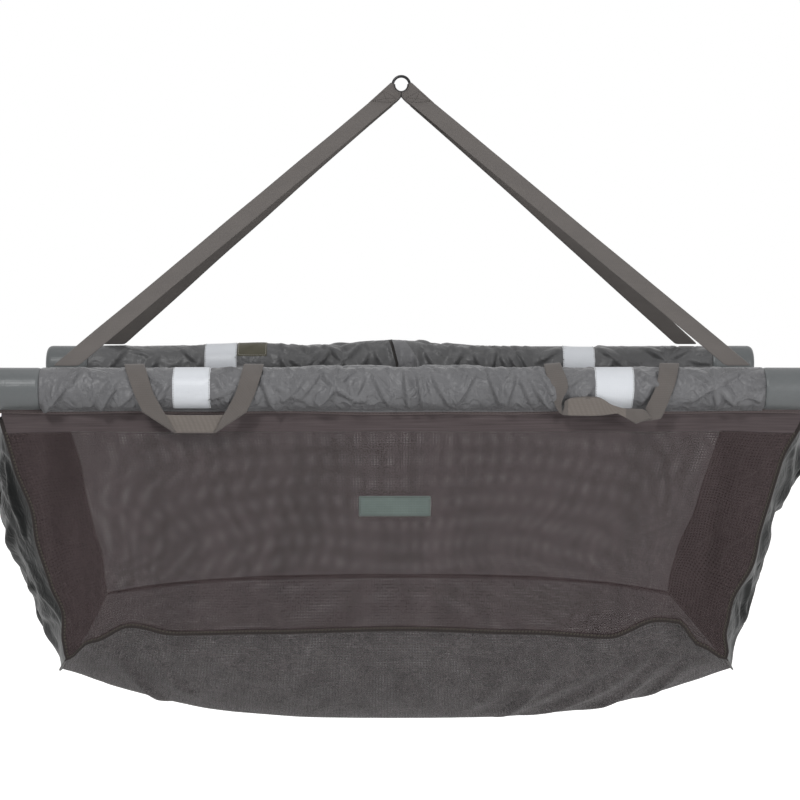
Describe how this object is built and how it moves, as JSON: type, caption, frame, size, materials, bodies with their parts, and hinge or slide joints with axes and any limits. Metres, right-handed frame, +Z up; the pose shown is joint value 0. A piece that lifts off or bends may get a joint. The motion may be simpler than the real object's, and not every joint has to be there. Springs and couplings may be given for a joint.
{
  "type": "weigh sling",
  "caption": "Fishing weigh sling: a mesh bag with nylon gussets hung between two padded float tubes, carried by webbing legs from a lifting ring.",
  "frame": {"origin": "the hook's seat, at the top of the lifting ring's hole", "axes": "+Z up against the load, +X along the float tubes, -Y towards the front, the side with the label"},
  "size_m": [1.164, 0.5346, 0.9234],
  "materials": {
    "black_steel": "gloss",
    "webbing": "matte",
    "sleeve_nylon": "satin",
    "coated_nylon": "satin",
    "foam": "matte",
    "aluminium": "satin",
    "black_plastic": "matte",
    "reflective_tape": "satin",
    "mesh": "matte",
    "binding": "matte",
    "gusset_nylon": "satin",
    "label": "matte",
    "olive_hook_tape": "matte"
  },
  "bodies": {
    "ring": {"lifting_ring": "black_steel", "ring_loop_left": "webbing", "ring_loop_right": "webbing"},
    "front_straps": {"front_strap_left": "webbing", "front_strap_right": "webbing"},
    "back_straps": {"back_strap_left": "webbing", "back_strap_right": "webbing"},
    "front_side": {"front_sleeve": "sleeve_nylon", "front_end_sleeve_left": "coated_nylon", "front_end_sleeve_right": "coated_nylon", "front_float": "foam", "front_strap_anchor_left": "webbing", "front_strap_anchor_right": "webbing", "front_band_left": "reflective_tape", "front_band_right": "reflective_tape", "front_handle_tab_left_inner": "webbing", "front_handle_tab_left_outer": "webbing", "front_handle_tab_right_inner": "webbing", "front_handle_tab_right_outer": "webbing", "front_mesh_panel": "mesh", "front_seam_binding": "binding", "front_label": "label"},
    "back_side": {"back_sleeve": "sleeve_nylon", "back_end_sleeve_left": "coated_nylon", "back_end_sleeve_right": "coated_nylon", "back_float": "foam", "back_strap_anchor_left": "webbing", "back_strap_anchor_right": "webbing", "back_band_left": "reflective_tape", "back_band_right": "reflective_tape", "back_handle_tab_left_inner": "webbing", "back_handle_tab_left_outer": "webbing", "back_handle_tab_right_inner": "webbing", "back_handle_tab_right_outer": "webbing", "back_mesh_panel": "mesh", "back_seam_binding": "binding", "back_closure_patch": "olive_hook_tape", "back_placket": "sleeve_nylon"},
    "front_handle_left": {"front_handle_left": "webbing"},
    "front_handle_right": {"front_handle_right": "webbing"},
    "back_handle_left": {"back_handle_left": "webbing"},
    "back_handle_right": {"back_handle_right": "webbing"},
    "front_bar_left": {"front_bar_left": "aluminium", "front_bar_left_plug": "black_plastic", "front_bar_left_spigot": "aluminium"},
    "front_bar_right": {"front_bar_right": "aluminium", "front_bar_right_plug": "black_plastic"},
    "back_bar_left": {"back_bar_left": "aluminium", "back_bar_left_plug": "black_plastic", "back_bar_left_spigot": "aluminium"},
    "back_bar_right": {"back_bar_right": "aluminium", "back_bar_right_plug": "black_plastic"},
    "bag": {"base_mesh": "mesh", "gusset_left": "gusset_nylon", "gusset_right": "gusset_nylon", "gusset_hem_left": "gusset_nylon", "gusset_hem_right": "gusset_nylon", "base_binding_left": "binding", "base_binding_right": "binding"}
  },
  "joints": [
    {"name": "front_swing", "type": "hinge", "parent": "ring", "child": "front_straps", "pos_m": [0, -0.00105, -0.036], "axis": [1, 0, 0], "range_deg": [0, 29.03], "deforming": ["base_mesh", "gusset_left", "gusset_right", "gusset_hem_left", "gusset_hem_right", "base_binding_left", "base_binding_right"]},
    {"name": "front_level", "type": "hinge", "parent": "front_straps", "child": "front_side", "pos_m": [0, -0.2375, -0.39195], "axis": [1, 0, 0], "range_deg": [-29.1, 0]},
    {"name": "back_swing", "type": "hinge", "parent": "ring", "child": "back_straps", "pos_m": [0, 0.00105, -0.036], "axis": [-1, 0, 0], "range_deg": [0, 29.1]},
    {"name": "back_level", "type": "hinge", "parent": "back_straps", "child": "back_side", "pos_m": [0, 0.2375, -0.39195], "axis": [-1, 0, 0], "range_deg": [-29.1, 0]},
    {"name": "bag_drop", "type": "slide", "parent": "ring", "child": "bag", "axis": [0, 0, -1], "range_m": [0, 0.0702]},
    {"name": "front_handle_left_lift", "type": "hinge", "parent": "front_side", "child": "front_handle_left", "pos_m": [-0.274, -0.24154, -0.39323], "axis": [-1, 0, 0], "range_deg": [0, 110]},
    {"name": "front_handle_right_lift", "type": "hinge", "parent": "front_side", "child": "front_handle_right", "pos_m": [0.274, -0.24154, -0.39323], "axis": [-1, 0, 0], "range_deg": [0, 110]},
    {"name": "back_handle_left_lift", "type": "hinge", "parent": "back_side", "child": "back_handle_left", "pos_m": [-0.262, 0.24154, -0.39323], "axis": [1, 0, 0], "range_deg": [0, 110]},
    {"name": "back_handle_right_lift", "type": "hinge", "parent": "back_side", "child": "back_handle_right", "pos_m": [0.262, 0.24154, -0.39323], "axis": [1, 0, 0], "range_deg": [0, 110]},
    {"name": "front_bar_left_pull", "type": "slide", "parent": "front_side", "child": "front_bar_left", "axis": [-1, 0, 0], "range_m": [0, 0.59]},
    {"name": "front_bar_right_pull", "type": "slide", "parent": "front_side", "child": "front_bar_right", "axis": [1, 0, 0], "range_m": [0, 0.55]},
    {"name": "back_bar_left_pull", "type": "slide", "parent": "back_side", "child": "back_bar_left", "axis": [-1, 0, 0], "range_m": [0, 0.59]},
    {"name": "back_bar_right_pull", "type": "slide", "parent": "back_side", "child": "back_bar_right", "axis": [1, 0, 0], "range_m": [0, 0.55]}
  ],
  "couplings": [
    {"joint": "front_level", "follows": "front_swing", "ratio": -1},
    {"joint": "back_swing", "follows": "front_swing", "ratio": 1},
    {"joint": "back_level", "follows": "front_swing", "ratio": -1},
    {"joint": "bag_drop", "follows": "front_swing", "m_per_rad": 0.13817}
  ]
}
